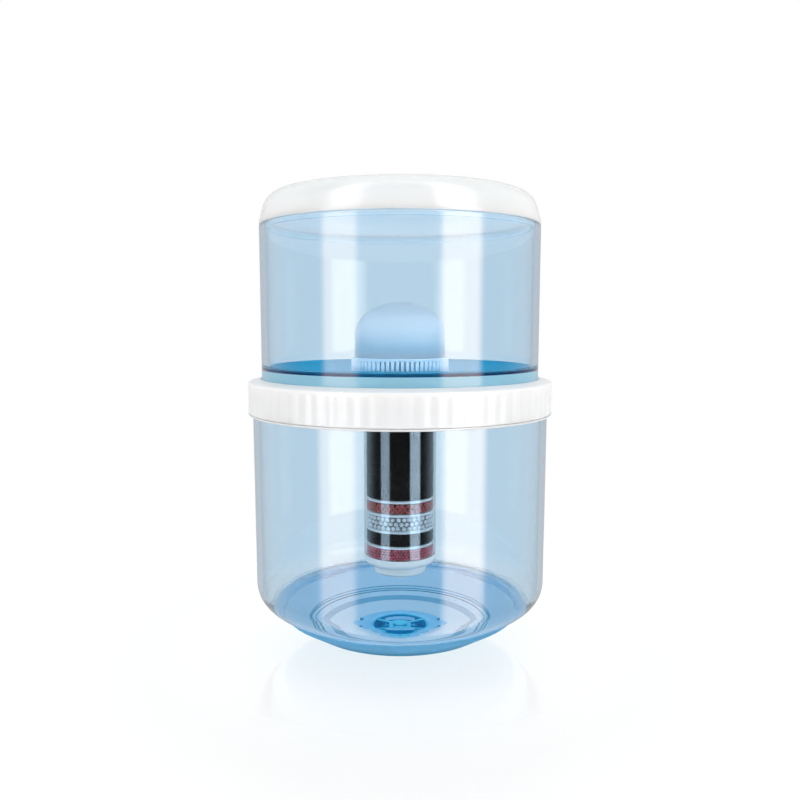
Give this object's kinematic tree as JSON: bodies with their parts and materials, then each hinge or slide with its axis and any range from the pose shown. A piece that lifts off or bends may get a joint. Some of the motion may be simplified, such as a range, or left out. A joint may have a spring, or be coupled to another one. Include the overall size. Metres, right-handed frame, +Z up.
{
  "type": "water purifier",
  "caption": "Two-tank gravity water filter: clear blue tanks joined by a ribbed white collar, with lid, ceramic dome, layered mineral cartridge and push-up outlet valve in the base.",
  "frame": {"origin": "middle of the standing foot's underside", "axes": "+Z up along the tanks' common axis, -Y towards the viewer of the picture"},
  "size_m": [0.2932, 0.2932, 0.4372],
  "materials": {
    "white_plastic": "moulded gloss",
    "clear_blue": "clear, polished",
    "clear_plastic": "clear",
    "frosted_plastic": "frosted",
    "dome_plastic": "moulded",
    "ceramic": "fine porous ceramic",
    "carbon": "loose granules",
    "red_balls": "loose ceramic balls",
    "white_balls": "loose ceramic balls",
    "felt": "pressed felt",
    "silicone": "soft silicone"
  },
  "bodies": {
    "base": {"lower_tank": "clear_blue", "valve_cup": "clear_blue", "valve_gasket": "silicone", "valve_cage": "clear_blue"},
    "collar": {"joint_collar": "white_plastic", "mouth_gasket": "silicone", "tank_gasket": "silicone"},
    "upper": {"upper_tank": "clear_blue", "dome_base": "dome_plastic", "dome_washer": "silicone", "ceramic_dome": "ceramic", "floor_washer": "silicone", "cartridge_head": "white_plastic", "cartridge_tube": "clear_plastic", "cartridge_end_cap": "frosted_plastic", "outlet_strainer": "frosted_plastic", "carbon_bed_main": "carbon", "red_ball_bed_upper": "red_balls", "white_ball_bed": "white_balls", "carbon_bed_lower": "carbon", "red_ball_bed_lower": "red_balls", "pad_top": "felt", "pad_below_carbon": "felt", "pad_below_red": "felt", "pad_below_white": "felt", "pad_below_black": "felt", "pad_bottom": "felt"},
    "lid": {"lid": "white_plastic"},
    "poppet": {"valve_poppet": "clear_blue", "poppet_seal": "silicone"}
  },
  "joints": [
    {"name": "collar_twist", "type": "hinge", "parent": "base", "child": "collar", "pos_m": [0, 0, 0.24], "axis": [0, 0, 1], "range_deg": [0, 24]},
    {"name": "upper_tank_lift", "type": "slide", "parent": "collar", "child": "upper", "axis": [0, 0, 1], "range_m": [0, 0.22]},
    {"name": "lid_lift", "type": "slide", "parent": "upper", "child": "lid", "axis": [0, 0, 1], "range_m": [0, 0.12]},
    {"name": "poppet_lift", "type": "slide", "parent": "base", "child": "poppet", "axis": [0, 0, 1], "range_m": [0, 0.004]}
  ]
}
